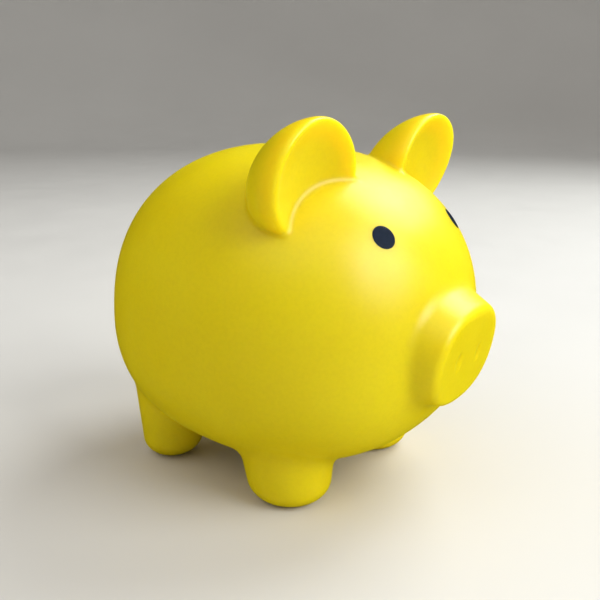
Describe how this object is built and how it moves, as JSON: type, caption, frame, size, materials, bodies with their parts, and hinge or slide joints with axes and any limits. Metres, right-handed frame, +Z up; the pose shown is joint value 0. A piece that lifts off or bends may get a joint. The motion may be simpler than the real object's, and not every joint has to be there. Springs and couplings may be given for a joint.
{
  "type": "piggy bank",
  "caption": "Hollow soft-vinyl piggy bank with round body, cupped ears, coin slot along the back and a push-in stopper under the belly.",
  "frame": {"origin": "on the ground, under the middle of the overall width and length", "axes": "+Z up; the pig looks along -Y and its tail points along +Y; its left side is +X"},
  "size_m": [0.114, 0.1306, 0.1211],
  "materials": {
    "vinyl": "satin yellow soft vinyl",
    "plug": "translucent white soft plastic",
    "print": "glossy black pad print"
  },
  "bodies": {
    "pig": {"body_shell": "vinyl", "eye_left": "print", "eye_right": "print"},
    "plug": {"stopper": "plug"}
  },
  "joints": [
    {"name": "stopper_pull", "type": "slide", "parent": "pig", "child": "plug", "axis": [0, 0, -1], "range_m": [0, 0.03]}
  ]
}
